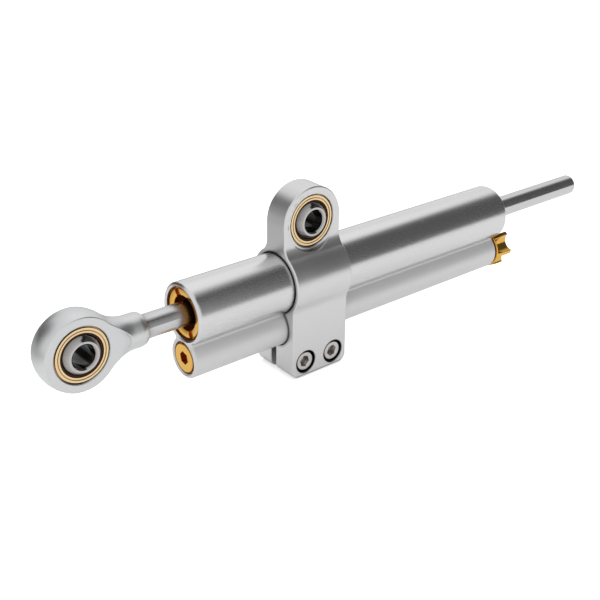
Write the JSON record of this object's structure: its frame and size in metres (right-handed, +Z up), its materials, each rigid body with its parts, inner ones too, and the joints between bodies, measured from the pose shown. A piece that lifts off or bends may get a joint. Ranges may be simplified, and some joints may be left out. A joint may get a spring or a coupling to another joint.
{
  "type": "motorcycle steering damper",
  "caption": "Linear hydraulic steering damper: twin-tube silver barrel with a through rod, spherical rod end, clamp with a bearing lug and gold adjuster knob.",
  "frame": {"origin": "centre of the clamp lug's spherical bearing", "axes": "+X along the barrel and rod, from the rod end's eye towards the rod's bare tail; +Y along the lug bearing's bore, away from the clamp screws' heads; +Z up, from the barrel towards the lug"},
  "size_m": [0.2582, 0.0256, 0.0697],
  "materials": {
    "barrel_aluminium": "satin anodised, drawn along the tube",
    "clamp_aluminium": "bead-blasted satin anodised",
    "rod_end_aluminium": "fine blasted matte silver",
    "inner_aluminium": "turned",
    "gold_anodised": "gold anodised, semi-gloss",
    "race_bronze": "fine turned bronze",
    "bush_bronze": "sintered bronze",
    "rod_chrome": "hard chrome, ground",
    "ball_chrome": "polished bearing steel",
    "stainless": "stainless, turned head",
    "inner_steel": "turned",
    "seal_rubber": "smooth nitrile",
    "liner_polymer": "dark brown PTFE fabric"
  },
  "bodies": {
    "clamp": {"clamp": "clamp_aluminium", "clamp_screws": "stainless", "lug_race": "race_bronze"},
    "lug_liner": {"lug_liner": "liner_polymer"},
    "lug_ball": {"lug_ball": "ball_chrome"},
    "barrel": {"barrel": "barrel_aluminium", "front_gland_nut": "gold_anodised", "rear_gland_nut": "gold_anodised", "front_seal_head": "inner_aluminium", "rear_seal_head": "inner_aluminium", "front_guide_bush": "bush_bronze", "rear_guide_bush": "bush_bronze", "front_rod_seal": "seal_rubber", "rear_rod_seal": "seal_rubber", "front_wiper": "seal_rubber", "rear_wiper": "seal_rubber", "front_head_o_ring": "seal_rubber", "rear_head_o_ring": "seal_rubber", "bypass_plug": "gold_anodised", "plug_o_ring": "seal_rubber", "adjuster_body": "gold_anodised", "adjuster_o_ring": "seal_rubber", "detent_ball": "inner_steel", "detent_spring": "inner_steel"},
    "piston": {"piston": "inner_aluminium", "piston_band": "liner_polymer", "piston_clips": "inner_steel"},
    "rod": {"rod": "rod_chrome", "rod_end": "rod_end_aluminium", "eye_race": "race_bronze"},
    "eye_liner": {"eye_liner": "liner_polymer"},
    "eye_ball": {"eye_ball": "ball_chrome"},
    "knob": {"adjuster_knob": "gold_anodised", "knob_screw": "stainless", "adjuster_spindle": "inner_steel", "spindle_o_ring": "seal_rubber"},
    "needle": {"adjuster_needle": "inner_steel"}
  },
  "joints": [
    {"name": "barrel_in_clamp", "type": "slide", "parent": "clamp", "child": "barrel", "axis": [1, 0, 0], "range_m": [-0.086, 0.039]},
    {"name": "rod_stroke", "type": "slide", "parent": "barrel", "child": "piston", "axis": [1, 0, 0], "range_m": [-0.051, 0.013]},
    {"name": "rod_turn", "type": "hinge", "parent": "piston", "child": "rod", "pos_m": [0, 0, -0.0218], "axis": [1, 0, 0], "continuous": true},
    {"name": "eye_swivel", "type": "hinge", "parent": "rod", "child": "eye_liner", "pos_m": [-0.0915, 0, -0.0218], "axis": [0, 1, 0], "continuous": true},
    {"name": "eye_tilt", "type": "hinge", "parent": "eye_liner", "child": "eye_ball", "pos_m": [-0.0915, 0, -0.0218], "axis": [1, 0, 0], "range_deg": [-12, 12]},
    {"name": "lug_swivel", "type": "hinge", "parent": "clamp", "child": "lug_liner", "pos_m": [0, 0, 0], "axis": [0, 1, 0], "continuous": true},
    {"name": "lug_tilt", "type": "hinge", "parent": "lug_liner", "child": "lug_ball", "pos_m": [0, 0, 0], "axis": [1, 0, 0], "range_deg": [-12, 12]},
    {"name": "knob_turn", "type": "hinge", "parent": "barrel", "child": "knob", "pos_m": [0.0992, 0, -0.0385], "axis": [1, 0, 0], "range_deg": [-360, 360]},
    {"name": "needle_travel", "type": "slide", "parent": "barrel", "child": "needle", "axis": [1, 0, 0], "range_m": [-0.00075, 0.00075]}
  ],
  "couplings": [
    {"joint": "knob_turn", "follows": "needle_travel", "rad_per_m": 8377.5}
  ]
}
